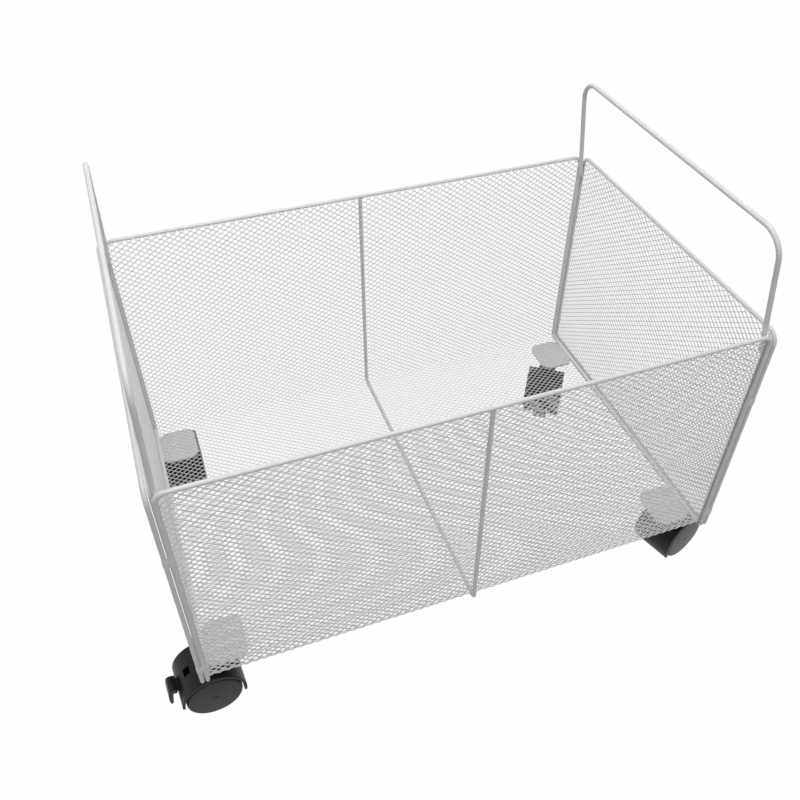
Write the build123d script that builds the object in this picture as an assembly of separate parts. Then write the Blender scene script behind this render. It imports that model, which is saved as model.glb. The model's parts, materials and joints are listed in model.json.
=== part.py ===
from build123d import *
import os
from math import cos, sin, tan, radians, pi

# Rolling wire basket: a steel wire frame lined with fine diamond mesh, a wire
# handle at each short end, and four twin-wheel casters, two of them with a
# brake lever. Millimetres, +X along the length, +Y to the back, +Z up.
# The parts are built about the centre of the basket on the ground plane, and
# are moved together at the end so that the origin lies under the middle of
# the whole outline.

# ---- basket sizes, between wire centre lines ----
BASKET_LENGTH = 455.0
BASKET_WIDTH = 290.0
BASKET_DEPTH = 220.5

# ---- wires ----
FRAME_WIRE_D = 3.4
RIB_WIRE_D = 3.5
HANDLE_WIRE_D = 4.0
FRAME_TOP_BEND_R = 8.0
FRAME_FLOOR_BEND_R = 4.0
END_FRAME_TOP_BEND_R = 10.0
POST_GAP = 0.8

# ---- mesh sheets ----
SHEET_T = 1.2
SHEET_GAP = 0.3

# ---- handles ----
HANDLE_RISE = 81.5
HANDLE_LEG_BELOW_RIM = 17.0
HANDLE_LEAN_DEG = {-1: 2.0, 1: 7.8}
HANDLE_CONVERGE_DEG = 2.6
HANDLE_BEND_R = 20.0

# ---- ties that join the two posts of each corner ----
TIE_HEIGHT = 6.0
TIE_WALL = 0.35
TIE_GAP = 0.02
TIE_BELOW_RIM = 66.0
TIE_ABOVE_FLOOR = 20.0

# ---- caster plates and weld nuts ----
PLATE_X = 34.0
PLATE_Y = 40.0
PLATE_T = 2.0
PLATE_CORNER_R = 9.0
CASTER_OUT = 2.5
PLATE_MID_Y = 114.0
NUT_FLATS = 13.0
NUT_HEIGHT = 7.0
THREAD_GAP = 0.05

# ---- casters ----
WHEEL_D = 46.0
WHEEL_WIDTH = 11.6
WHEEL_EDGE_R = 2.2
DOME_RISE = 0.9
CASTER_TRAIL = 19.0
WEB_T = 13.6
WEB_GAP = 0.7
HOOD_GAP = 1.3
HOOD_WALL = 2.3
HOOD_WIDTH = 39.0
HOOD_EDGE_R = 0.8
HOOD_ARC_DEG = (0.0, 192.0)
PLAIN_HOOD_ARC_DEG = (25.0, 207.0)
WEB_BELOW_AXLE = 6.0
WEB_HUB_R = 8.5
BOSS_RISE = 4.5
BOSS_TOP_R = 8.0
BOSS_BASE_R = 9.5
BOSS_CORE_R = 7.1
AXLE_D = 6.0
AXLE_IN_WHEEL = 8.0
AXLE_END_GAP = 0.3
RUNNING_GAP = 0.06
STEM_D = 8.0
STEM_DEPTH = 20.0
STEM_END_GAP = 1.0
SHOULDER_T = 2.0
SWIVEL_GAP = 0.3

# ---- brake levers ----
LEVER_DEG = 18.0
PIVOT_R = 19.0
PIN_D = 3.0
PEDAL_GAP = 1.5
PEDAL_REACH = 8.2
PEDAL_T = 3.6
PEDAL_TIP_T = 2.0
PEDAL_TOP_R = 3.5
PEDAL_EDGE_R = 0.7
PEDAL_WIDTH = 14.0
PEDAL_LOW_DEG = -10.0
LEVER_ARM_T = 5.0
LEVER_ARM_WIDTH = 9.0
LEVER_SIDE_GAP = 0.5
LEVER_PRESS_DEG = 12.0
WINDOW_DEG = 53.0
WINDOW_SIZE = 7.0
WINDOW_DEPTH = 5.0

# ---- rest headings: the way each caster trails, degrees from +X ----
CORNERS = {
    "front_left": (-1, -1, 184.0, True),
    "front_right": (1, -1, 18.0, False),
    "back_left": (-1, 1, 90.0, False),
    "back_right": (1, 1, 236.0, True),
}

# ---- places that follow from the sizes ----
wire_r = FRAME_WIRE_D / 2
rib_r = RIB_WIRE_D / 2
handle_r = HANDLE_WIRE_D / 2
end_x = BASKET_LENGTH / 2
post_x = end_x - FRAME_WIRE_D - POST_GAP
side_y = BASKET_WIDTH / 2
sheet_y = side_y - wire_r
end_sheet_x = end_x - wire_r

wheel_r = WHEEL_D / 2
axle_z = wheel_r
hood_r = wheel_r + HOOD_GAP + HOOD_WALL
hood_inner_r = wheel_r + HOOD_GAP
boss_z = axle_z + hood_r + BOSS_RISE
shoulder_z = boss_z + SWIVEL_GAP
nut_z = shoulder_z + SHOULDER_T
plate_z = nut_z + NUT_HEIGHT
floor_z = plate_z + PLATE_T
floor_wire_z = floor_z - wire_r
rim_z = floor_wire_z + BASKET_DEPTH
wheel_inner_v = WEB_T / 2 + WEB_GAP
caster_x = post_x - wire_r - PLATE_X / 2
caster_y = PLATE_MID_Y + CASTER_OUT


def polar(radius, degrees):
    """A point of the caster's side view, measured about the axle."""
    a = radians(degrees)
    return (CASTER_TRAIL + radius * cos(a), axle_z + radius * sin(a))


def bent_wire(points, bends, radius, closed=False):
    """Round wire through the points, with a bend of the given centre-line
    radius at each inner corner."""
    pts = [Vector(*p) for p in points]
    n = len(pts)
    edges = []
    inner = range(n) if closed else range(1, n - 1)
    cuts = {}
    for i in inner:
        before, here, after = pts[i - 1], pts[i], pts[(i + 1) % n]
        d1 = (before - here).normalized()
        d2 = (after - here).normalized()
        half = radians(d1.get_angle(d2)) / 2
        reach = bends[i] / tan(half)
        middle = (d1 + d2).normalized()
        centre = here + middle * (bends[i] / sin(half))
        cuts[i] = (here + d1 * reach, centre - middle * bends[i], here + d2 * reach)
    if closed:
        for i in inner:
            start, through, end = cuts[i]
            edges.append(Edge.make_three_point_arc(start, through, end))
            edges.append(Edge.make_line(end, cuts[(i + 1) % n][0]))
    else:
        last = pts[0]
        for i in inner:
            start, through, end = cuts[i]
            edges.append(Edge.make_line(last, start))
            edges.append(Edge.make_three_point_arc(start, through, end))
            last = end
        edges.append(Edge.make_line(last, pts[-1]))
    path = Wire(edges)
    section = Plane(origin=path @ 0, z_dir=path % 0) * Circle(radius)
    return sweep(section, path=path)


def main_wire(side):
    """One long wire: half of each floor edge, two posts and the rim."""
    y = side * side_y
    points = [
        (-post_x, 0, floor_wire_z),
        (-post_x, y, floor_wire_z),
        (-post_x, y, rim_z),
        (post_x, y, rim_z),
        (post_x, y, floor_wire_z),
        (post_x, 0, floor_wire_z),
    ]
    bends = [0, FRAME_FLOOR_BEND_R, FRAME_TOP_BEND_R, FRAME_TOP_BEND_R,
             FRAME_FLOOR_BEND_R, 0]
    return bent_wire(points, bends, wire_r)


def centre_rib():
    """The U-shaped wire across the middle, from rim to rim under the floor."""
    y = sheet_y + rib_r
    z = floor_z - rib_r
    top = rim_z - wire_r
    bend = FRAME_FLOOR_BEND_R - wire_r + rib_r
    points = [(0, -y, top), (0, -y, z), (0, y, z), (0, y, top)]
    return bent_wire(points, [0, bend, bend, 0], rib_r)


def end_frame(side):
    """The closed wire rectangle outside each short end."""
    x = side * end_x
    points = [
        (x, -side_y, floor_wire_z),
        (x, side_y, floor_wire_z),
        (x, side_y, rim_z),
        (x, -side_y, rim_z),
    ]
    bends = [FRAME_FLOOR_BEND_R, FRAME_FLOOR_BEND_R,
             END_FRAME_TOP_BEND_R, END_FRAME_TOP_BEND_R]
    return bent_wire(points, bends, wire_r, closed=True)


def body_mesh():
    """The sheet that makes the front wall, the floor and the back wall."""
    outer = FRAME_FLOOR_BEND_R - wire_r
    inner_y = sheet_y - SHEET_T
    inner_z = floor_z + SHEET_T
    with BuildSketch() as profile:
        with BuildLine():
            Polyline(
                (-sheet_y, rim_z), (-sheet_y, floor_z), (sheet_y, floor_z), (sheet_y, rim_z),
                (inner_y, rim_z), (inner_y, inner_z), (-inner_y, inner_z), (-inner_y, rim_z),
                (-sheet_y, rim_z),
            )
        make_face()
        corners = profile.vertices()
        fillet(corners.filter_by(lambda v: abs(v.Y - floor_z) < SHEET_T / 2), outer)
        corners = profile.vertices()
        fillet(corners.filter_by(lambda v: abs(v.Y - inner_z) < SHEET_T / 10
                                 and abs(abs(v.X) - inner_y) < SHEET_T / 10), outer - SHEET_T)
    half = end_sheet_x - SHEET_T - SHEET_GAP
    sheet = extrude(Plane.YZ * profile.sketch, half, both=True)
    edges = sheet.edges().filter_by(Axis.Y).filter_by(lambda e: e.center().Z > rim_z - SHEET_T)
    ends = edges.filter_by(lambda e: abs(e.center().X) > half - SHEET_T)
    return fillet(ends, FRAME_TOP_BEND_R)


def end_mesh(side):
    """The flat sheet that closes a short end, inside its wire rectangle."""
    half = sheet_y - SHEET_GAP
    low = floor_z + SHEET_GAP
    middle = (low + rim_z) / 2
    sheet = Pos(side * (end_sheet_x - SHEET_T / 2), 0, middle) * Box(
        SHEET_T, 2 * half, rim_z - low)
    for edges, bend in ((sheet.edges().filter_by(Axis.X).group_by(Axis.Z)[0], FRAME_FLOOR_BEND_R),
                        (sheet.edges().filter_by(Axis.X).group_by(Axis.Z)[-1], END_FRAME_TOP_BEND_R)):
        sheet = fillet(edges, bend - wire_r - SHEET_GAP)
    return sheet


def handle(side):
    """The wire hoop over a short end, welded into both corners."""
    x = end_sheet_x - SHEET_T - handle_r
    y = sheet_y - SHEET_T - handle_r
    low = rim_z - HANDLE_LEG_BELOW_RIM
    high = rim_z + HANDLE_RISE
    lean = (high - low) * tan(radians(HANDLE_LEAN_DEG[side]))
    narrow = (high - low) * tan(radians(HANDLE_CONVERGE_DEG))
    points = [
        (side * x, -y, low),
        (side * (x - lean), narrow - y, high),
        (side * (x - lean), y - narrow, high),
        (side * x, y, low),
    ]
    return bent_wire(points, [0, HANDLE_BEND_R, HANDLE_BEND_R, 0], handle_r)


def corner_tie(side_x, side_y_sign, z):
    """A short band round both posts of a corner, open towards the sheet."""
    x = side_x * (end_x + post_x) / 2
    y = side_y_sign * side_y
    pitch = end_x - post_x
    around = wire_r + TIE_WALL
    band = Pos(x, y, z) * extrude(SlotCenterToCenter(pitch, 2 * around), TIE_HEIGHT / 2, both=True)
    for px in (side_x * end_x, side_x * post_x):
        band -= Pos(px, y, z) * Cylinder(wire_r + TIE_GAP, 2 * TIE_HEIGHT)
    keep = Pos(x, y + side_y_sign * (around - wire_r + TIE_WALL), z) * Box(
        4 * around, 2 * around, 2 * TIE_HEIGHT)
    return (band & keep).solids()


def corner_ties():
    ties = []
    for side_x in (-1, 1):
        for side in (-1, 1):
            for z in (rim_z - TIE_BELOW_RIM, floor_wire_z + TIE_ABOVE_FLOOR):
                ties += corner_tie(side_x, side, z)
    return Compound(children=ties)


def plate(sx, sy):
    """The steel plate under a corner of the floor, welded to the wire."""
    blank = Pos(sx * caster_x, sy * PLATE_MID_Y, plate_z + PLATE_T / 2) * Box(PLATE_X, PLATE_Y, PLATE_T)
    return fillet(blank.edges().filter_by(Axis.Z), PLATE_CORNER_R)


def weld_nuts():
    """The hexagonal nuts under the plates, tapped for the caster stems."""
    nuts = []
    for sx, sy, _, _ in CORNERS.values():
        hexagon = RegularPolygon(NUT_FLATS / 2, 6, major_radius=False)
        blank = extrude(hexagon - Circle(STEM_D / 2 + THREAD_GAP), NUT_HEIGHT)
        nuts.append(Pos(sx * caster_x, sy * caster_y, nut_z) * blank.solid())
    return Compound(children=nuts)


def stem():
    """Threaded stem with a hexagonal shoulder, down into the hood's boss."""
    low = boss_z - STEM_DEPTH
    high = plate_z - SWIVEL_GAP
    shaft = Pos(0, 0, (low + high) / 2) * Cylinder(STEM_D / 2, high - low)
    shoulder = Pos(0, 0, shoulder_z) * extrude(
        RegularPolygon(NUT_FLATS / 2, 6, major_radius=False), SHOULDER_T)
    shaft = chamfer(shaft.edges().filter_by(GeomType.CIRCLE), STEM_D / 16)
    return shaft + shoulder


def side_prism(outline, width):
    """A side-view outline drawn out across the caster."""
    return extrude(Plane.XZ * outline, width / 2, both=True)


def ring_sector(inner, outer, start_deg, end_deg):
    """The part of a ring about the axle between two angles."""
    mid = (start_deg + end_deg) / 2
    with BuildSketch() as sector:
        with BuildLine():
            ThreePointArc(polar(outer, start_deg), polar(outer, mid), polar(outer, end_deg))
            Line(polar(outer, end_deg), polar(inner, end_deg))
            ThreePointArc(polar(inner, end_deg), polar(inner, mid), polar(inner, start_deg))
            Line(polar(inner, start_deg), polar(outer, start_deg))
        make_face()
    return sector.sketch


def lever_slot():
    """The pocket in web and hood that the brake lever moves in."""
    width = LEVER_ARM_WIDTH + 2 * LEVER_SIDE_GAP
    pu, pz = polar(PIVOT_R, LEVER_DEG)
    sweep_deg = LEVER_PRESS_DEG / 2
    room = Pos(pu, 0, pz) * Rot(X=90) * Cylinder(LEVER_ARM_T / 2 + SHEET_T, width)
    for turn in range(3):
        angle = turn * sweep_deg
        arm = Pos(hood_r / 2, 0, 0) * Box(hood_r, width, LEVER_ARM_T + 2 * LEVER_SIDE_GAP)
        room += Pos(pu, 0, pz) * Rot(Y=angle - LEVER_DEG) * arm
    return room


def hood(braked):
    """Hood over both wheels, with the web between them and the stem boss."""
    arc = HOOD_ARC_DEG if braked else PLAIN_HOOD_ARC_DEG
    shell = side_prism(ring_sector(hood_inner_r, hood_r, *arc), HOOD_WIDTH)
    rims = shell.edges().filter_by(GeomType.CIRCLE)
    shell = fillet(rims.filter_by(lambda e: e.radius > hood_r - HOOD_WALL / 2), HOOD_EDGE_R)
    web = Pos(CASTER_TRAIL, 0, axle_z) * Rot(X=90) * Cylinder(hood_inner_r + HOOD_WALL / 2, WEB_T)
    below = Pos(CASTER_TRAIL, 0, axle_z - WEB_BELOW_AXLE - hood_r) * Box(
        3 * hood_r, 2 * WEB_T, 2 * hood_r)
    web -= below
    web += Pos(CASTER_TRAIL, 0, axle_z) * Rot(X=90) * Cylinder(WEB_HUB_R, WEB_T)
    body = shell + web
    core_low = boss_z - STEM_DEPTH - 2 * STEM_END_GAP
    body += Pos(0, 0, (core_low + boss_z) / 2) * Cylinder(BOSS_CORE_R, boss_z - core_low)
    shell_z = axle_z + (hood_r ** 2 - CASTER_TRAIL ** 2) ** 0.5 - HOOD_WALL
    boss = Pos(0, 0, (shell_z + boss_z) / 2) * Cone(BOSS_BASE_R, BOSS_TOP_R, boss_z - shell_z)
    inside = Pos(CASTER_TRAIL, 0, axle_z) * Rot(X=90) * Cylinder(hood_inner_r, HOOD_WIDTH)
    body += boss - inside
    bore_low = boss_z - STEM_DEPTH - STEM_END_GAP
    body -= Pos(0, 0, (bore_low + boss_z) / 2) * Cylinder(
        STEM_D / 2 + RUNNING_GAP, boss_z - bore_low)
    body -= Pos(CASTER_TRAIL, 0, axle_z) * Rot(X=90) * Cylinder(AXLE_D / 2, 2 * WEB_T)
    if braked:
        pu, pz = polar(PIVOT_R, LEVER_DEG)
        body -= lever_slot()
        body -= Pos(pu, 0, pz) * Rot(X=90) * Cylinder(PIN_D / 2, 2 * WEB_T)
        wu, wz = polar(hood_r, WINDOW_DEG)
        body -= Pos(wu, 0, wz) * Rot(Y=-WINDOW_DEG) * Box(
            2 * WINDOW_DEPTH, WINDOW_SIZE, WINDOW_SIZE)
    return body.solid()


def axle():
    length = 2 * (wheel_inner_v + AXLE_IN_WHEEL)
    pin = Cylinder(AXLE_D / 2, length)
    pin = chamfer(pin.edges().filter_by(GeomType.CIRCLE), AXLE_D / 16)
    return Pos(CASTER_TRAIL, 0, axle_z) * Rot(X=90) * pin


def wheel(side):
    """Solid wheel with rounded tread edges and a slightly domed disc."""
    bore = AXLE_D / 2 + RUNNING_GAP
    depth = AXLE_IN_WHEEL + AXLE_END_GAP
    crown = WHEEL_WIDTH + DOME_RISE
    dome_r = (wheel_r ** 2 + DOME_RISE ** 2) / (2 * DOME_RISE)
    half_way = crown - dome_r + (dome_r ** 2 - (wheel_r / 2) ** 2) ** 0.5
    with BuildSketch(Plane.XZ) as profile:
        with BuildLine():
            Polyline((0, crown), (0, depth), (bore, depth), (bore, 0), (wheel_r, 0),
                     (wheel_r, WHEEL_WIDTH))
            ThreePointArc((wheel_r, WHEEL_WIDTH), (wheel_r / 2, half_way), (0, crown))
        make_face()
        tread = profile.vertices().filter_by(lambda v: v.X > wheel_r - 0.1)
        fillet(tread, WHEEL_EDGE_R)
    solid = revolve(profile.sketch, Axis.Z)
    turned = Rot(X=-90 * side) * (Pos(0, 0, wheel_inner_v) * solid)
    return Pos(CASTER_TRAIL, 0, axle_z) * turned


def brake_lever():
    """Hooked pedal behind the hood, on an arm that turns about its pin."""
    near = hood_r + PEDAL_GAP
    outer = hood_r + PEDAL_REACH
    half = LEVER_ARM_T / 2 / outer * 180 / pi
    top, root = LEVER_DEG + half, LEVER_DEG - half
    middle = (top + PEDAL_LOW_DEG) / 2
    with BuildSketch() as hook:
        with BuildLine():
            ThreePointArc(polar(outer, top), polar(outer, middle), polar(outer, PEDAL_LOW_DEG))
            Polyline(polar(outer, PEDAL_LOW_DEG), polar(outer - PEDAL_TIP_T, PEDAL_LOW_DEG),
                     polar(outer - PEDAL_T, root), polar(near, root), polar(near, top),
                     polar(outer, top))
        make_face()
        by_height = hook.vertices().sort_by(Axis.Y)
        fillet(by_height[:2], PEDAL_EDGE_R)
        fillet(hook.vertices().sort_by_distance(polar(outer, top))[0], PEDAL_TOP_R)
    lever = side_prism(hook.sketch, PEDAL_WIDTH)
    pu, pz = polar(PIVOT_R, LEVER_DEG)
    reach = near + LEVER_SIDE_GAP - PIVOT_R
    arm = Pos(reach / 2, 0, 0) * Box(reach, LEVER_ARM_WIDTH, LEVER_ARM_T)
    lever += Pos(pu, 0, pz) * Rot(Y=-LEVER_DEG) * arm
    lever += Pos(pu, 0, pz) * Rot(X=90) * Cylinder(LEVER_ARM_T / 2, LEVER_ARM_WIDTH)
    lever -= Pos(pu, 0, pz) * Rot(X=90) * Cylinder(PIN_D / 2 + RUNNING_GAP, 2 * LEVER_ARM_WIDTH)
    return lever


def lever_pin():
    pu, pz = polar(PIVOT_R, LEVER_DEG)
    return Pos(pu, 0, pz) * Rot(X=90) * Cylinder(PIN_D / 2, WEB_T)


def make_parts():
    parts = {
        "main_wire_front": main_wire(-1),
        "main_wire_back": main_wire(1),
        "centre_rib": centre_rib(),
        "end_frame_left": end_frame(-1),
        "end_frame_right": end_frame(1),
        "body_mesh": body_mesh(),
        "end_mesh_left": end_mesh(-1),
        "end_mesh_right": end_mesh(1),
        "handle_left": handle(-1),
        "handle_right": handle(1),
        "corner_ties": corner_ties(),
        "weld_nuts": weld_nuts(),
    }
    for name, (sx, sy, heading, braked) in CORNERS.items():
        parts[f"plate_{name}"] = plate(sx, sy)
        place = Pos(sx * caster_x, sy * caster_y, 0) * Rot(Z=heading)
        parts[f"stem_{name}"] = place * stem()
        parts[f"hood_{name}"] = place * hood(braked)
        parts[f"axle_{name}"] = place * axle()
        parts[f"wheel_{name}_a"] = place * wheel(-1)
        parts[f"wheel_{name}_b"] = place * wheel(1)
        if braked:
            parts[f"brake_lever_{name}"] = place * brake_lever()
            parts[f"lever_pin_{name}"] = place * lever_pin()
    return parts


def main():
    parts = make_parts()
    boxes = [p.bounding_box() for p in parts.values()]
    mid_x = (min(b.min.X for b in boxes) + max(b.max.X for b in boxes)) / 2
    mid_y = (min(b.min.Y for b in boxes) + max(b.max.Y for b in boxes)) / 2
    os.makedirs("parts", exist_ok=True)
    for name, shape in parts.items():
        export_step(Pos(-mid_x, -mid_y, 0) * shape, f"parts/{name}.step")


main()
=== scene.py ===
"""Rolling wire basket: diamond mesh panels, powder-coated wires and black
hooded casters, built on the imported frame."""

import json
from math import atan2, ceil, cos, pi, radians, sin

import bmesh
import bpy
from mathutils import Matrix, Vector


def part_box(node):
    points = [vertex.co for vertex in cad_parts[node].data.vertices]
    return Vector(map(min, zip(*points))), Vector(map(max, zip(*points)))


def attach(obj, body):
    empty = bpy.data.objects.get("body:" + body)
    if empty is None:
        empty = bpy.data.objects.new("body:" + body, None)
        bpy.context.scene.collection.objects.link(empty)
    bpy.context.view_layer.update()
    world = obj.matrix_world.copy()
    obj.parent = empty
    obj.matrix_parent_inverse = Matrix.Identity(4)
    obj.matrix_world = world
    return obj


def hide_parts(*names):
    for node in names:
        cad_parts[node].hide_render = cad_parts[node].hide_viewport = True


bl_info = {
    "name": "Rolling wire basket",
    "version": (1, 0, 0),
    "blender": (4, 5, 0),
    "location": "View3D > Sidebar > Basket",
    "description": "Dresses a wire basket on casters: mesh, wires, casters and stage",
    "category": "Object",
}

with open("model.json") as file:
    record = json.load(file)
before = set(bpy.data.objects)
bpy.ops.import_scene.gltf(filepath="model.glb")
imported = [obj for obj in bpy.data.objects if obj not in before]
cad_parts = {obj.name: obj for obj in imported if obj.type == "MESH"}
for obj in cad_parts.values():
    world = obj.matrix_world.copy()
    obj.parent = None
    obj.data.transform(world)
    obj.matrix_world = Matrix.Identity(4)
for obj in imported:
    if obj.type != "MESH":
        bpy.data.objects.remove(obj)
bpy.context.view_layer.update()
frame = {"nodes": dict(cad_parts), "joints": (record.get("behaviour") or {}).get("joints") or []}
NODES = frame["nodes"]
JOINTS = {j["name"]: j for j in frame["joints"]}
BASKET = "basket"
MM = 0.001

# ---------------------------------------------------------------- the frame

SHEET_LOW, SHEET_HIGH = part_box("body_mesh")
SHEET_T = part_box("end_mesh_left")[1].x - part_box("end_mesh_left")[0].x
CENTRE = (SHEET_LOW + SHEET_HIGH) / 2
WIRE_R = (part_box("end_frame_left")[1].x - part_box("end_frame_left")[0].x) / 2
RIM_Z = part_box("main_wire_front")[1].z - WIRE_R
FLOOR_WIRE_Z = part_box("main_wire_front")[0].z + WIRE_R
CORNER_NAMES = ("front_left", "front_right", "back_left", "back_right")

# ---------------------------------------------------------- numbers by name

# Relief of the powder coat's orange peel on each kind of part.
MESH_PEEL_DEPTH = 0.03 * MM
WIRE_PEEL_DEPTH = 0.015 * MM
PLATE_PEEL_DEPTH = 0.02 * MM
BEAD_PEEL_DEPTH = 0.09 * MM
# Size of the ripples on the mesh.
MESH_PEEL = 0.8 * MM

# Roughness of each finish, before its own variation.
MESH_ROUGHNESS = 0.42
WIRE_ROUGHNESS = 0.36
PLATE_ROUGHNESS = 0.4
BEAD_ROUGHNESS = 0.38
HOOD_ROUGHNESS = 0.42
LEVER_ROUGHNESS = 0.38
WHEEL_ROUGHNESS = 0.36
ZINC_ROUGHNESS = 0.34

# Brightness of the plates' coat next to the wires' own, a little darker as painted
# shade for the plates lying in shade under the mesh; and size of the beads' ripples next to the
# wires' own.
PLATE_PAINTED_SHADE = 0.97
BEAD_PEEL_SHARE = 0.7

# How much light black plastic throws back straight on.
PLASTIC_SPECULAR = 0.24

# Mesh corners closer than this become one.
JOIN_DISTANCE = 0.00002
# Points across the plain hem, and steps along it for each diamond.
HEM_POINTS = 5
HEM_STEPS = 6
# An end panel is flat, so its bend is put this many panel heights away.
FLAT_SHARE = 10

# Sides and rings of a weld bead.
BEAD_SEGMENTS = 10
BEAD_RINGS = 7
# Depth of a bead's middle in the groove between two round wires, as a share
# of the radius of the wire it clings to.
RIB_GROOVE = 0.9
LEG_GROOVE = 0.8
FLOOR_GROOVE = 0.55
# Radius of a handle's wire against the frame's.
LEG_WIRE = 1.18
# Length of a bead against the setting: on ribs, floor wires, butts and plates.
RIB_BEAD = 1.3
FLOOR_BEAD = 1.4
BUTT_BEAD = 1.4
PLATE_BEAD = 1.3
# Width of the bead round a butt joint against the wire's radius, and of a
# plate's bead against the setting.
BUTT_WIDTH = 2.3
PLATE_BEAD_WIDTH = 1.2
# Places of the floor beads along an end frame, from its middle to its end.
FLOOR_BEAD_PLACES = (-0.72, -0.26, 0.26, 0.72)
# Distance of a plate's beads from its middle, as a share of its width.
PLATE_BEAD_PLACE = 0.22

# Lamps: name, place from the basket's middle, side and power in watts.
LAMPS = (
    ("key", (-0.05, 0.0, 1.05), 0.5, 4.4),
    ("back", (0.5, 1.5, 1.3), 1.4, 3.0),
    ("fill", (0.0, -1.5, 1.2), 0.8, 4.8),
)
# Shift of the camera's frame, across and up.
CAMERA_SHIFT = (-0.0119, -0.0015)
# Half the floor's side, and how much of it is plain white where it is looked
# at, the rest being its paint with the shadows on it.
FLOOR_HALF_SIDE = 6.0
FLOOR_WHITE = 0.99
WHITE = (1.0, 1.0, 1.0)
# Soft light from all around.
SKY_LIGHT = (0.32, 0.322, 0.326)


# ------------------------------------------------------------- node helpers

class Value:
    """A number socket that takes part in Python arithmetic by adding Math
    nodes to its tree."""

    def __init__(self, graph, socket):
        self.graph = graph
        self.socket = socket

    def math(self, operation, *others):
        inputs = {0: self}
        inputs.update({i + 1: other for i, other in enumerate(others)})
        return self.graph.add("ShaderNodeMath", {"operation": operation}, inputs)

    def __add__(self, other):
        return self.math("ADD", other)

    def __mul__(self, other):
        return self.math("MULTIPLY", other)

    def __sub__(self, other):
        return self.math("SUBTRACT", other)

    def __rsub__(self, other):
        return -self + other

    def __truediv__(self, other):
        return self.math("DIVIDE", other)

    def __neg__(self):
        return self.math("MULTIPLY", -1.0)

    def __abs__(self):
        return self.math("ABSOLUTE")

    def least(self, other):
        return self.math("MINIMUM", other)

    def most(self, other):
        return self.math("MAXIMUM", other)

    def above(self, other):
        return self.math("GREATER_THAN", other)

    def below(self, other):
        return self.math("LESS_THAN", other)

    def clamped(self, low, high):
        return self.most(low).least(high)


class Graph:
    """Adds nodes to one tree: its settings are set first, its sockets next,
    and its output comes back as a Value."""

    def __init__(self, tree):
        self.tree = tree

    def add(self, kind, settings=None, inputs=None, output=0):
        node = self.tree.nodes.new(kind)
        for name, setting in (settings or {}).items():
            setattr(node, name, setting)
        for key, value in (inputs or {}).items():
            self.plug(node.inputs[key], value)
        return Value(self, node.outputs[output]) if len(node.outputs) else node

    def plug(self, socket, value):
        values = value if isinstance(value, list) else [value]
        for one in values:
            if isinstance(one, Value):
                self.tree.links.new(one.socket, socket)
            else:
                socket.default_value = one


def rgba(colour):
    return (*colour, 1.0)


def new_material(name):
    material = bpy.data.materials.new(name)
    material.use_nodes = True
    material.node_tree.nodes.clear()
    return material, Graph(material.node_tree)


def surface(graph, **inputs):
    """The Principled shader, with its sockets given by name, and the output
    of a material."""
    named = {key.replace("_", " ").title(): value for key, value in inputs.items()}
    named = {key.replace("Ior", "IOR"): value for key, value in named.items()}
    shader = graph.add("ShaderNodeBsdfPrincipled", inputs=named)
    graph.add("ShaderNodeOutputMaterial", inputs={"Surface": shader})


def noise(graph, place, size, detail=2.0, roughness=0.5):
    """Noise whose features are about size metres across."""
    return graph.add("ShaderNodeTexNoise", inputs={
        "Vector": place, "Scale": 1.0 / size, "Detail": detail,
        "Roughness": roughness})


def blend_colour(graph, factor, first, second):
    node = graph.tree.nodes.new("ShaderNodeMix")
    node.data_type = "RGBA"
    graph.plug(node.inputs["Factor"], factor)
    graph.plug(node.inputs[6], first)
    graph.plug(node.inputs[7], second)
    return Value(graph, node.outputs[2])


def bumped(graph, height, distance):
    return graph.add(
        "ShaderNodeBump",
        inputs={"Height": height, "Distance": distance, "Strength": 1.0},
    )


# ---------------------------------------------------------------- materials

def powder_coat(name, colour, roughness, peel, peel_depth):
    """Sprayed and baked powder coat: fine orange peel, and a little more or
    less film from place to place."""
    material, graph = new_material(name)
    place = graph.add("ShaderNodeTexCoord", output="Object")
    film = noise(graph, place, 0.045, 3.0)
    grain = noise(graph, place, peel * 1.6, 2.0)
    skin = noise(graph, place, peel, 3.0, 0.6)
    thin = tuple(c * 0.93 for c in colour)
    tone = blend_colour(
        graph, (film * 0.7 + grain * 0.3 - 0.3) * 1.6, rgba(thin), rgba(colour))
    surface(
        graph,
        base_color=tone,
        roughness=(film * 0.5 + grain * 0.5) * 0.16 + (roughness - 0.08),
        normal=bumped(graph, skin, peel_depth),
        coat_weight=0.12,
        coat_roughness=0.22,
    )
    return material


def plated_steel(name, colour, roughness):
    """Bright zinc plate with drawn streaks and duller patches."""
    material, graph = new_material(name)
    place = graph.add("ShaderNodeTexCoord", output="Object")
    streak = graph.add(
        "ShaderNodeMapping", inputs={"Vector": place, "Scale": (1.0, 1.0, 0.08)})
    lines = noise(graph, streak, 0.0006, 2.0)
    patches = noise(graph, place, 0.006, 2.0)
    dull = tuple(c * 0.72 for c in colour)
    surface(
        graph,
        base_color=blend_colour(
            graph, patches * 0.6 + lines * 0.4, rgba(dull), rgba(colour)),
        metallic=1.0,
        roughness=patches * 0.2 + lines * 0.15 + (roughness - 0.17),
        normal=bumped(graph, lines, 0.00003),
    )
    return material


def moulded_plastic(name, colour, roughness):
    """Black moulded nylon with a fine spark-eroded grain."""
    material, graph = new_material(name)
    place = graph.add("ShaderNodeTexCoord", output="Object")
    grain = noise(graph, place, 0.0005, 2.0, 0.6)
    flow = noise(graph, place, 0.012, 2.0)
    dusty = tuple(c * 1.9 + 0.004 for c in colour)
    surface(
        graph,
        base_color=blend_colour(
            graph, (flow * 1.4 - 0.35) * 0.6, rgba(colour), rgba(dusty)),
        roughness=flow * 0.14 + grain * 0.1 + (roughness - 0.12),
        specular_ior_level=PLASTIC_SPECULAR,
        normal=bumped(graph, grain, 0.00004),
    )
    return material


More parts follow.
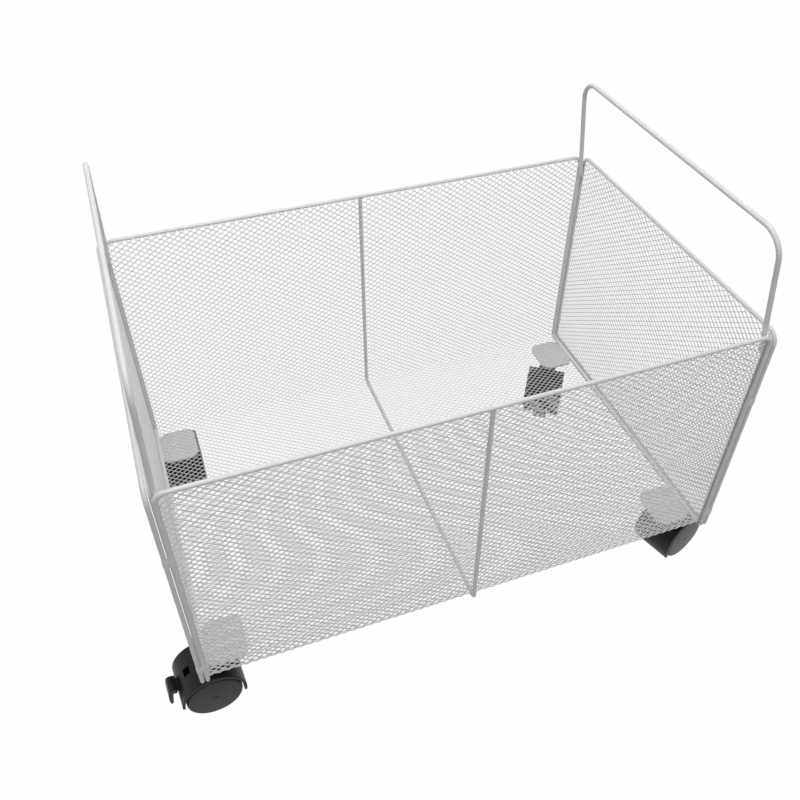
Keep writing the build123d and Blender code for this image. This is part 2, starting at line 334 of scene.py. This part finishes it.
def wheel_plastic(name, colour, roughness, centre, axis, radius):
    """Moulded wheel: faint turned rings on the disc, and a tread scuffed
    paler where it rolls. The rings need the wheel's centre and axis."""
    material, graph = new_material(name)
    place = graph.add("ShaderNodeTexCoord", output="Object")
    offset = graph.add(
        "ShaderNodeVectorMath", {"operation": "SUBTRACT"}, {0: place, 1: tuple(centre)})
    along = graph.add(
        "ShaderNodeVectorMath", {"operation": "DOT_PRODUCT"},
        {0: offset, 1: tuple(axis)}, "Value")
    full = graph.add(
        "ShaderNodeVectorMath", {"operation": "LENGTH"}, {0: offset}, "Value")
    out = (full * full - along * along).most(0.0).math("SQRT")
    ring_pitch = 0.0011
    rings = (out * (2 * pi / ring_pitch)).math("SINE")
    grain = noise(graph, place, 0.0006, 2.0, 0.6)
    scuffs = noise(graph, place, 0.0028, 4.0, 0.65)
    tread_start, tread_fade = radius - 0.0011, 0.0008
    tread = ((out - tread_start) / tread_fade).clamped(0.0, 1.0)
    worn = tread * (scuffs * 2.2 - 0.55).clamped(0.0, 1.0)
    scuffed = tuple(c * 2.6 + 0.02 for c in colour)
    surface(
        graph,
        base_color=blend_colour(
            graph, worn * 0.55, rgba(colour), rgba(scuffed)),
        roughness=worn * 0.3 + grain * 0.1 + (roughness - 0.05),
        specular_ior_level=PLASTIC_SPECULAR,
        normal=bumped(
            graph, grain * 0.8 + rings * 0.12 * (1 - tread) + worn * 0.8, 0.00005),
    )
    return material


def paint_node(name, material):
    """Gives a CAD node its finish."""
    node = NODES[name]
    node.data.materials.clear()
    node.data.materials.append(material)


# ----------------------------------------------------------------- settings

def length_property(name, description, default):
    return bpy.props.FloatProperty(
        name=name, description=description, default=default, unit="LENGTH",
        precision=5)


def colour_property(name, description, default):
    return bpy.props.FloatVectorProperty(
        name=name, description=description, default=default, subtype="COLOR",
        min=0.0, max=1.0)


def angle_property(name, description, default):
    return bpy.props.FloatProperty(
        name=name, description=description, default=default, subtype="ANGLE",
        unit="ROTATION")


class MeshSettings(bpy.types.PropertyGroup):
    """Sizes of the expanded mesh."""

    long_way: length_property("Long way", "Diamond pitch across the panel", 7.2 * MM)
    short_way: length_property("Short way", "Diamond pitch up the panel", 5.2 * MM)
    strand: length_property("Strand", "Width of a strand", 0.52 * MM)
    gauge: length_property("Gauge", "Thickness of the strand metal", 0.5 * MM)
    hem: length_property("Hem", "Unslit strip along the upright edges", 3.4 * MM)
    bend: length_property("Bend", "Middle radius where wall turns to floor", 1.7 * MM)
    rim_corner: length_property("Rim corner", "Top corners of the long walls", 8.0 * MM)
    end_corner: length_property("End corner", "Top corners of the ends", 8.3 * MM)
    foot_corner: length_property("Foot corner", "Lower corners of the ends", 2.0 * MM)
    colour: colour_property("Colour", "Powder coat on the mesh", (0.91, 0.91, 0.905))


class WireSettings(bpy.types.PropertyGroup):
    """Finish of the wires."""

    colour: colour_property("Colour", "Powder coat on the wires", (0.87, 0.87, 0.865))
    peel: length_property("Orange peel", "Size of the coat's ripples", 0.9 * MM)
    bead: length_property("Weld bead", "Length of a weld bead", 5.0 * MM)
    bead_width: length_property("Bead width", "Width of a weld bead", 1.8 * MM)


class CasterSettings(bpy.types.PropertyGroup):
    """Finish of the casters."""

    hood: colour_property("Hood", "Plastic of the hoods", (0.006, 0.006, 0.0063))
    wheel: colour_property("Wheel", "Plastic of the wheels", (0.007, 0.007, 0.0073))
    zinc: colour_property("Zinc", "Plate on the stems and nuts", (0.62, 0.63, 0.65))


class StageSettings(bpy.types.PropertyGroup):
    """Camera, floor and lamps."""

    yaw: angle_property("Yaw", "Turn of the camera from the back direction", radians(20.62))
    pitch: angle_property("Pitch", "How far the camera looks down", radians(43.30))
    roll: angle_property("Roll", "Tilt of the camera about its view", radians(0.60))
    lens: bpy.props.FloatProperty(
        name="Lens", description="Focal length", default=38.28, unit="CAMERA")
    sideways: length_property("Sideways", "Camera from the middle of the rim", -0.1954)
    back: length_property("Back", "Camera from the middle of the rim", -0.5058)
    above: length_property("Above", "Camera over the rim", 0.3907)
    floor: colour_property("Floor", "Colour of the floor", (0.3, 0.3, 0.3))


SETTINGS = {
    "basket_mesh": MeshSettings,
    "basket_wire": WireSettings,
    "basket_caster": CasterSettings,
    "basket_stage": StageSettings,
}


def settings(name):
    return getattr(bpy.context.scene, name)


# -------------------------------------------------------------- mesh panels

def diamond_cell(long_way, short_way, strand, relief):
    """One diamond of slit and stretched sheet: four strand halves between the
    cell's border and its hole. The strands lean like louvres: the hole's upper
    corner lies to one side of the sheet by relief and its lower corner to the
    other."""
    slope = atan2(short_way, long_way)
    cell = (long_way / 2, short_way / 2)
    hole = (cell[0] - strand / 2 / sin(slope), cell[1] - strand / 2 / cos(slope))
    corners = ((1, 0), (0, 1), (-1, 0), (0, -1))
    shape = bmesh.new()
    outer = [shape.verts.new((cell[0] * x, cell[1] * y, 0)) for x, y in corners]
    inner = [shape.verts.new((hole[0] * x, hole[1] * y, relief * y)) for x, y in corners]
    for i in range(4):
        j = (i + 1) % 4
        shape.faces.new((outer[i], outer[j], inner[j], inner[i]))
    mesh = bpy.data.meshes.new("diamond_cell")
    shape.to_mesh(mesh)
    shape.free()
    cell_object = bpy.data.objects.new("diamond_cell", mesh)
    bpy.context.scene.collection.objects.link(cell_object)
    return cell_object


def panel_tree():
    """Geometry nodes: diamonds on one grid and two half-step shifts of it,
    trimmed to the panel, with a plain hem along both sides, bent from floor
    to wall."""
    tree = bpy.data.node_groups.new("Diamond mesh panel", "GeometryNodeTree")
    face = tree.interface
    face.new_socket("Geometry", in_out="INPUT", socket_type="NodeSocketGeometry")
    face.new_socket("Cell", in_out="INPUT", socket_type="NodeSocketObject")
    for name in ("Half Width", "Start", "End", "Long Way", "Short Way", "Hem",
                 "Floor Half", "Bend", "Reach", "High Corner", "Low Corner"):
        face.new_socket(name, in_out="INPUT", socket_type="NodeSocketFloat")
    face.new_socket("Coat", in_out="INPUT", socket_type="NodeSocketMaterial")
    face.new_socket("Geometry", in_out="OUTPUT", socket_type="NodeSocketGeometry")
    graph = Graph(tree)
    given = tree.nodes.new("NodeGroupInput")
    value = {s.name: Value(graph, s) for s in given.outputs if s.name}
    half, start, end = value["Half Width"], value["Start"], value["End"]
    long_way, short_way = value["Long Way"], value["Short Way"]
    columns = (half * 2 / long_way).math("CEIL")
    rows = ((end - start) / short_way).math("CEIL")

    def staggered(shift):
        grid = graph.add("GeometryNodeMeshGrid", inputs={
            "Size X": columns * long_way, "Size Y": rows * short_way,
            "Vertices X": columns + 1, "Vertices Y": rows + 1})
        corner = graph.add("ShaderNodeCombineXYZ", inputs={
            "X": long_way * (shift / 2) + (columns * long_way / 2 - half),
            "Y": start + rows * short_way / 2 + short_way * (shift / 2)})
        return graph.add("GeometryNodeTransform", inputs={
            "Geometry": grid, "Translation": corner})

    points = graph.add("GeometryNodeJoinGeometry", inputs={
        "Geometry": [staggered(0), staggered(1), staggered(-1)]})
    cell = graph.add(
        "GeometryNodeObjectInfo", inputs={"Object": value["Cell"]}, output="Geometry")
    placed = graph.add("GeometryNodeInstanceOnPoints", inputs={
        "Points": points, "Instance": cell})
    lattice = graph.add("GeometryNodeRealizeInstances", inputs={"Geometry": placed})
    where = graph.add("GeometryNodeInputPosition")
    axes = graph.add("ShaderNodeSeparateXYZ", inputs={"Vector": where}).socket.node
    u, v, n = (Value(graph, axes.outputs[i]) for i in range(3))
    outside = abs(u).above(half).most(v.above(end)).most(v.below(start))

    def past_corner(height, radius):
        aside = (abs(u) - (half + value["Hem"] - radius)).most(0.0)
        over = (height - (value["Reach"] - radius)).most(0.0)
        return (aside * aside + over * over).above(radius * radius)

    cut = past_corner(v, value["High Corner"]).most(past_corner(-v, value["Low Corner"]))
    trimmed = graph.add("GeometryNodeDeleteGeometry", {"domain": "FACE"}, {
        "Geometry": lattice, "Selection": outside})
    length = end - start
    hems = []
    for side in (-1, 1):
        strip = graph.add("GeometryNodeMeshGrid", inputs={
            "Size X": value["Hem"], "Size Y": length, "Vertices X": HEM_POINTS,
            "Vertices Y": (length / short_way).math("CEIL") * HEM_STEPS + 1})
        centre = graph.add("ShaderNodeCombineXYZ", inputs={
            "X": (half + value["Hem"] / 2) * side, "Y": start + length / 2})
        hems.append(graph.add("GeometryNodeTransform", inputs={
            "Geometry": strip, "Translation": centre}))
    flat = graph.add("GeometryNodeJoinGeometry", inputs={"Geometry": [trimmed, *hems]})
    cornered = graph.add("GeometryNodeDeleteGeometry", {"domain": "FACE"}, {
        "Geometry": flat, "Selection": cut})
    merged = graph.add("GeometryNodeMergeByDistance", inputs={
        "Geometry": cornered, "Distance": JOIN_DISTANCE})

    floor_half, bend = value["Floor Half"], value["Bend"]
    side = v.math("SIGN")
    run = abs(v)
    turn = ((run - floor_half) / bend).clamped(0.0, pi / 2)
    rise = (run - floor_half - bend * (pi / 2)).most(0.0)
    sine, cosine = turn.math("SINE"), turn.math("COSINE")
    across = side * (run.least(floor_half) + sine * (bend + n))
    up = bend * (1 - cosine) + rise - cosine * n
    bent = graph.add("ShaderNodeCombineXYZ", inputs={"X": u, "Y": across, "Z": up})
    shaped = graph.add("GeometryNodeSetPosition", inputs={
        "Geometry": merged, "Position": bent})
    coated = graph.add("GeometryNodeSetMaterial", inputs={
        "Geometry": shaped, "Material": value["Coat"]})
    out = tree.nodes.new("NodeGroupOutput")
    graph.plug(out.inputs[0], coated)
    return tree


def run_tree(name, tree, values, gauge, points=None):
    """Evaluates the tree with these inputs, thickens the result where a gauge
    is given, and returns a plain mesh object."""
    carrier = bpy.data.objects.new(name, points or bpy.data.meshes.new(name))
    bpy.context.scene.collection.objects.link(carrier)
    nodes = carrier.modifiers.new("Panel", "NODES")
    nodes.node_group = tree
    for item in tree.interface.items_tree:
        if item.in_out == "INPUT" and item.name in values:
            nodes[item.identifier] = values[item.name]
    if gauge:
        wall = carrier.modifiers.new("Gauge", "SOLIDIFY")
        wall.thickness = gauge
        wall.offset = 0.0
    bpy.context.view_layer.update()
    ready = carrier.evaluated_get(bpy.context.evaluated_depsgraph_get())
    mesh = bpy.data.meshes.new_from_object(ready)
    bpy.data.objects.remove(carrier)
    piece = bpy.data.objects.new(name, mesh)
    bpy.context.scene.collection.objects.link(piece)
    return piece


class BASKET_OT_mesh_panels(bpy.types.Operator):
    """Make the expanded mesh of the walls, the floor and the ends"""

    bl_idname = "basket.mesh_panels"
    bl_label = "Mesh panels"

    def execute(self, context):
        given = settings("basket_mesh")
        coat = powder_coat(
            "mesh_coat", given.colour, MESH_ROUGHNESS, MESH_PEEL, MESH_PEEL_DEPTH)
        half_x = (SHEET_HIGH.x - SHEET_LOW.x) / 2 - given.hem
        mid_y = (SHEET_HIGH.y - SHEET_LOW.y - SHEET_T) / 2
        mid_z = SHEET_LOW.z + SHEET_T / 2
        floor_half = mid_y - given.bend
        reach = floor_half + given.bend * pi / 2 + SHEET_HIGH.z - mid_z - given.bend
        columns = round(2 * half_x / given.long_way)
        rows = round(2 * reach / given.short_way)
        long_way, short_way = 2 * half_x / columns, 2 * reach / rows
        relief = (SHEET_T - given.gauge) / 2
        cells = {
            lean: diamond_cell(long_way, short_way, given.strand, lean * relief)
            for lean in (-1, 1)}
        tree = panel_tree()
        half_row = short_way / 2
        fold = ceil((floor_half + given.bend * pi / 2) / half_row) * half_row
        common = {"Half Width": half_x, "Long Way": long_way,
                  "Short Way": short_way, "Hem": given.hem, "Floor Half": floor_half,
                  "Bend": given.bend, "Coat": coat, "Reach": reach,
                  "High Corner": given.rim_corner, "Low Corner": given.rim_corner}
        place = Matrix.Translation((CENTRE.x, CENTRE.y, mid_z))
        spans = {"front": (-reach, -fold, -1), "floor": (-fold, fold, -1),
                 "back": (fold, reach, 1)}
        for name, (start, end, lean) in spans.items():
            values = {**common, "Cell": cells[lean], "Start": start, "End": end}
            panel = run_tree(f"mesh_{name}", tree, values, given.gauge)
            panel.data.transform(place)
            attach(panel, BASKET)
            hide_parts("body_mesh")
        for cell in cells.values():
            bpy.data.objects.remove(cell)
        self.ends(given, coat, tree, relief)
        return {"FINISHED"}

    def ends(self, given, coat, tree, relief):
        for side in ("left", "right"):
            node = f"end_mesh_{side}"
            low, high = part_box(node)
            half_y = (high.y - low.y) / 2 - given.hem
            columns = round(2 * half_y / given.long_way)
            rows = round((high.z - low.z) / given.short_way)
            long_way, short_way = 2 * half_y / columns, (high.z - low.z) / rows
            cell = diamond_cell(long_way, short_way, given.strand, relief)
            far = FLAT_SHARE * (high.z - low.z)
            panel = run_tree(f"mesh_end_{side}", tree, {
                "Cell": cell, "Half Width": half_y,
                "Start": (low.z - high.z) / 2, "End": (high.z - low.z) / 2,
                "Long Way": long_way, "Short Way": short_way, "Hem": given.hem,
                "Floor Half": far, "Bend": given.bend, "Coat": coat,
                "Reach": (high.z - low.z) / 2, "High Corner": given.end_corner,
                "Low Corner": given.foot_corner,
            }, given.gauge)
            middle = (low + high) / 2
            stand = Matrix(((0, 0, -1, middle.x), (1, 0, 0, middle.y),
                            (0, 1, 0, middle.z), (0, 0, 0, 1)))
            # The right end is the left one after half a turn about the upright.
            if side == "right":
                flip_out = Matrix.Scale(-1, 4, (0, 0, 1))
                flip_across = Matrix.Scale(-1, 4, (1, 0, 0))
                stand = stand @ flip_out @ flip_across
            panel.data.transform(stand)
            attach(panel, BASKET)
            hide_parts(node)
            bpy.data.objects.remove(cell)


# -------------------------------------------------------------------- wires

class BASKET_OT_wires(bpy.types.Operator):
    """Coat the frame wires, the handles, the ties and the plates"""

    bl_idname = "basket.wires"
    bl_label = "Wires"

    def execute(self, context):
        given = settings("basket_wire")
        coat = powder_coat(
            "wire_coat", given.colour, WIRE_ROUGHNESS, given.peel, WIRE_PEEL_DEPTH)
        wires = ("main_wire", "centre_rib", "end_frame", "handle", "corner_ties")
        for name in NODES:
            if name.startswith(wires):
                paint_node(name, coat)
        # Painted shade: the plates' coat is the wire coat darkened for the shade under the mesh,
        # and the weld nuts share it.
        shade = tuple(c * PLATE_PAINTED_SHADE for c in given.colour)
        plate = powder_coat(
            "plate_painted_shade_coat", shade, PLATE_ROUGHNESS, given.peel, PLATE_PEEL_DEPTH)
        for name in ("weld_nuts", *(f"plate_{corner}" for corner in CORNER_NAMES)):
            paint_node(name, plate)
        return {"FINISHED"}


# -------------------------------------------------------------------- welds

def bead_tree():
    """Geometry nodes: one rounded bead at every point, laid along the point's
    own direction and stretched to its own size."""
    tree = bpy.data.node_groups.new("Weld beads", "GeometryNodeTree")
    face = tree.interface
    face.new_socket("Geometry", in_out="INPUT", socket_type="NodeSocketGeometry")
    face.new_socket("Coat", in_out="INPUT", socket_type="NodeSocketMaterial")
    face.new_socket("Geometry", in_out="OUTPUT", socket_type="NodeSocketGeometry")
    graph = Graph(tree)
    given = tree.nodes.new("NodeGroupInput")

    def named(name):
        node = graph.add("GeometryNodeInputNamedAttribute", {"data_type": "FLOAT_VECTOR"},
                         {"Name": name}).socket.node
        return Value(graph, next(s for s in node.outputs if s.enabled))

    bead = graph.add("GeometryNodeMeshUVSphere", inputs={
        "Segments": BEAD_SEGMENTS, "Rings": BEAD_RINGS, "Radius": 0.5})
    turn = graph.add("FunctionNodeAlignRotationToVector", {"axis": "X"}, {
        "Vector": named("along")})
    laid = graph.add("GeometryNodeInstanceOnPoints", inputs={
        "Points": Value(graph, given.outputs["Geometry"]), "Instance": bead,
        "Rotation": turn, "Scale": named("size")})
    real = graph.add("GeometryNodeRealizeInstances", inputs={"Geometry": laid})
    smooth = graph.add("GeometryNodeSetShadeSmooth", inputs={"Geometry": real})
    coated = graph.add("GeometryNodeSetMaterial", inputs={
        "Geometry": smooth, "Material": Value(graph, given.outputs["Coat"])})
    out = tree.nodes.new("NodeGroupOutput")
    graph.plug(out.inputs[0], coated)
    return tree


class BASKET_OT_welds(bpy.types.Operator):
    """Lay the weld beads where wires, legs and plates meet"""

    bl_idname = "basket.welds"
    bl_label = "Weld beads"

    def execute(self, context):
        given = settings("basket_wire")
        long, wide = given.bead, given.bead_width
        places = [
            *self.rib_beads(wide), *self.leg_beads(long, wide),
            *self.floor_wire_beads(long, wide), *self.plate_beads(long, wide)]
        mesh = bpy.data.meshes.new("weld_points")
        mesh.from_pydata([at for at, _, _ in places], [], [])
        for index, name in ((1, "along"), (2, "size")):
            attribute = mesh.attributes.new(name, "FLOAT_VECTOR", "POINT")
            for item, place in zip(attribute.data, places):
                item.vector = place[index]
        coat = powder_coat(
            "bead_coat", given.colour, BEAD_ROUGHNESS, given.peel * BEAD_PEEL_SHARE,
            BEAD_PEEL_DEPTH)
        beads = run_tree("weld_beads", bead_tree(), {"Coat": coat}, 0.0, mesh)
        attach(beads, BASKET)
        return {"FINISHED"}

    def rib_beads(self, wide):
        """Either side of the centre rib, under each rim."""
        low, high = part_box("centre_rib")
        rib_r = (high.x - low.x) / 2
        size = (wide, wide * RIB_BEAD, wide)
        for y in (low.y + rib_r, high.y - rib_r):
            for side in (-1, 1):
                x = (low.x + high.x) / 2 + side * rib_r * RIB_GROOVE
                yield (x, y, high.z - wide * 0.2), (1, 0, 0), size

    def leg_beads(self, long, wide):
        """Down both grooves between a handle's legs and the corner posts, at
        the foot and under the rim."""
        for name in ("handle_left", "handle_right"):
            low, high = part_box(name)
            inward = 1 if name.endswith("left") else -1
            leg_r = min(WIRE_R * LEG_WIRE, (high.x - low.x) / 2)
            x = (low.x if inward > 0 else high.x) + inward * leg_r
            for y, out in ((low.y + leg_r, -1), (high.y - leg_r, 1)):
                for z in (low.z + long * 0.45, RIM_Z - WIRE_R - long * 0.5):
                    for side in (-1, 1):
                        groove = leg_r * LEG_GROOVE
                        at = (x + side * groove, y + out * groove, z)
                        yield at, (0, 0, 1), (long, wide, wide)

    def floor_wire_beads(self, long, wide):
        """Along each end frame's floor wire, and round the butt where the two
        main wires meet."""
        for name in ("end_frame_left", "end_frame_right"):
            low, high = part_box(name)
            inward = 1 if name.endswith("left") else -1
            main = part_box("main_wire_front")
            post = (main[0].x if inward > 0 else main[1].x) + inward * WIRE_R
            groove = ((low.x + high.x) / 2 + post) / 2
            span = (high.y - low.y) / 2
            for share in FLOOR_BEAD_PLACES:
                at = (groove, CENTRE.y + share * span,
                      FLOOR_WIRE_Z - WIRE_R * FLOOR_GROOVE)
                yield at, (0, 1, 0), (long * FLOOR_BEAD, wide, wide)
            butt = WIRE_R * BUTT_WIDTH
            at = (post, CENTRE.y, FLOOR_WIRE_Z)
            yield at, (0, 1, 0), (wide * BUTT_BEAD, butt, butt)

    def plate_beads(self, long, wide):
        """Two along the outer edge of each caster plate."""
        for corner in CORNER_NAMES:
            low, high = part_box(f"plate_{corner}")
            x = high.x if corner.endswith("right") else low.x
            middle = (low.y + high.y) / 2
            for side in (-1, 1):
                at = (x, middle + side * (high.y - low.y) * PLATE_BEAD_PLACE,
                      low.z + wide * 0.25)
                yield at, (0, 1, 0), (long * PLATE_BEAD, wide * PLATE_BEAD_WIDTH, wide)


# ------------------------------------------------------------------ casters

class BASKET_OT_casters(bpy.types.Operator):
    """Finish the hoods, wheels, axles, stems, lever pins and brake levers"""

    bl_idname = "basket.casters"
    bl_label = "Casters"

    def execute(self, context):
        given = settings("basket_caster")
        hood = moulded_plastic("hood_plastic", given.hood, HOOD_ROUGHNESS)
        lever = moulded_plastic("lever_plastic", given.hood, LEVER_ROUGHNESS)
        zinc = plated_steel("zinc_plate", given.zinc, ZINC_ROUGHNESS)
        for name in NODES:
            if name.startswith("hood"):
                paint_node(name, hood)
            elif name.startswith("brake_lever"):
                paint_node(name, lever)
            elif name.startswith(("stem", "axle", "lever_pin")):
                paint_node(name, zinc)
        for corner in CORNER_NAMES:
            for side in "ab":
                joint = JOINTS[f"wheel_{corner}_{side}"]
                low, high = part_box(f"wheel_{corner}_{side}")
                paint_node(f"wheel_{corner}_{side}", wheel_plastic(
                    f"wheel_plastic_{corner}_{side}", given.wheel, WHEEL_ROUGHNESS,
                    joint["pos_m"], joint["axis"], (high.z - low.z) / 2))
        return {"FINISHED"}


# -------------------------------------------------------------------- stage

def seen_directly(graph):
    """One where the camera, gloss or glass looks, zero for soft light."""
    path = graph.add("ShaderNodeLightPath").socket.node
    seen = Value(graph, path.outputs["Is Camera Ray"])
    seen = seen.most(Value(graph, path.outputs["Is Glossy Ray"]))
    seen = seen.most(Value(graph, path.outputs["Is Transmission Ray"]))
    return seen


class BASKET_OT_stage(bpy.types.Operator):
    """Set the camera, the floor, the sky and the lamps"""

    bl_idname = "basket.stage"
    bl_label = "Stage"

    def execute(self, context):
        given = settings("basket_stage")
        self.camera(given)
        self.floor(given)
        self.sky()
        for name, offset, size, power in LAMPS:
            self.lamp(name, offset, size, power)
        context.scene.view_settings.view_transform = "Standard"
        return {"FINISHED"}

    def camera(self, given):
        yaw, pitch, roll = given.yaw, given.pitch, given.roll
        ahead = Vector((sin(yaw) * cos(pitch), cos(yaw) * cos(pitch), -sin(pitch)))
        right = Vector((cos(yaw), -sin(yaw), 0))
        up = right.cross(ahead)
        right, up = (right * cos(roll) + up * sin(roll),
                     up * cos(roll) - right * sin(roll))
        data = bpy.data.cameras.new("camera")
        data.lens = given.lens
        data.shift_x, data.shift_y = CAMERA_SHIFT
        camera = bpy.data.objects.new("camera", data)
        turn = Matrix((right, up, -ahead)).transposed().to_4x4()
        spot = Vector((CENTRE.x + given.sideways, CENTRE.y + given.back,
                       RIM_Z + given.above))
        camera.matrix_world = Matrix.Translation(spot) @ turn
        bpy.context.scene.collection.objects.link(camera)
        bpy.context.scene.camera = camera

    def floor(self, given):
        shape = bmesh.new()
        bmesh.ops.create_grid(shape, x_segments=1, y_segments=1, size=FLOOR_HALF_SIDE)
        mesh = bpy.data.meshes.new("floor")
        shape.to_mesh(mesh)
        shape.free()
        floor = bpy.data.objects.new("floor", mesh)
        bpy.context.scene.collection.objects.link(floor)
        material, graph = new_material("floor_paint")
        plain = graph.add("ShaderNodeBsdfDiffuse", inputs={"Color": rgba(given.floor)})
        glow = graph.add("ShaderNodeEmission", inputs={
            "Color": rgba(WHITE), "Strength": 1.0})
        seen = seen_directly(graph)
        mixed = graph.add("ShaderNodeMixShader", inputs={
            0: seen * FLOOR_WHITE, 1: plain, 2: glow})
        graph.add("ShaderNodeOutputMaterial", inputs={"Surface": mixed})
        mesh.materials.append(material)

    def sky(self):
        world = bpy.data.worlds.new("studio")
        bpy.context.scene.world = world
        world.use_nodes = True
        world.node_tree.nodes.clear()
        graph = Graph(world.node_tree)
        seen = seen_directly(graph)
        shade = blend_colour(graph, seen, rgba(SKY_LIGHT), rgba(WHITE))
        sky = graph.add("ShaderNodeBackground", inputs={"Color": shade, "Strength": 1.0})
        graph.add("ShaderNodeOutputWorld", inputs={"Surface": sky})

    def lamp(self, name, offset, size, power):
        data = bpy.data.lights.new(name, "AREA")
        data.shape = "SQUARE"
        data.size = size
        data.energy = power
        lamp = bpy.data.objects.new(name, data)
        middle = Vector((CENTRE.x, CENTRE.y, RIM_Z / 2))
        spot = middle + Vector(offset)
        turn = (middle - spot).to_track_quat("-Z", "Y").to_matrix().to_4x4()
        lamp.matrix_world = Matrix.Translation(spot) @ turn
        bpy.context.scene.collection.objects.link(lamp)


# -------------------------------------------------------------------- panel

class BASKET_PT_panel(bpy.types.Panel):
    """The sidebar list of the basket's pieces"""

    bl_label = "Rolling basket"
    bl_space_type = "VIEW_3D"
    bl_region_type = "UI"
    bl_category = "Basket"

    def draw(self, context):
        for operator in OPERATORS:
            self.layout.operator(operator.bl_idname)


OPERATORS = (
    BASKET_OT_mesh_panels,
    BASKET_OT_wires,
    BASKET_OT_welds,
    BASKET_OT_casters,
    BASKET_OT_stage,
)


def register():
    for group in SETTINGS.values():
        bpy.utils.register_class(group)
    for name, group in SETTINGS.items():
        setattr(bpy.types.Scene, name, bpy.props.PointerProperty(type=group))
    for kind in (*OPERATORS, BASKET_PT_panel):
        bpy.utils.register_class(kind)


def unregister():
    for kind in (BASKET_PT_panel, *reversed(OPERATORS)):
        bpy.utils.unregister_class(kind)
    for name in SETTINGS:
        delattr(bpy.types.Scene, name)
    for group in reversed(SETTINGS.values()):
        bpy.utils.unregister_class(group)


def main():
    register()
    bpy.ops.basket.mesh_panels()
    bpy.ops.basket.wires()
    bpy.ops.basket.welds()
    bpy.ops.basket.casters()
    bpy.ops.basket.stage()
    bpy.context.view_layer.update()


if __name__ == "__main__":
    main()
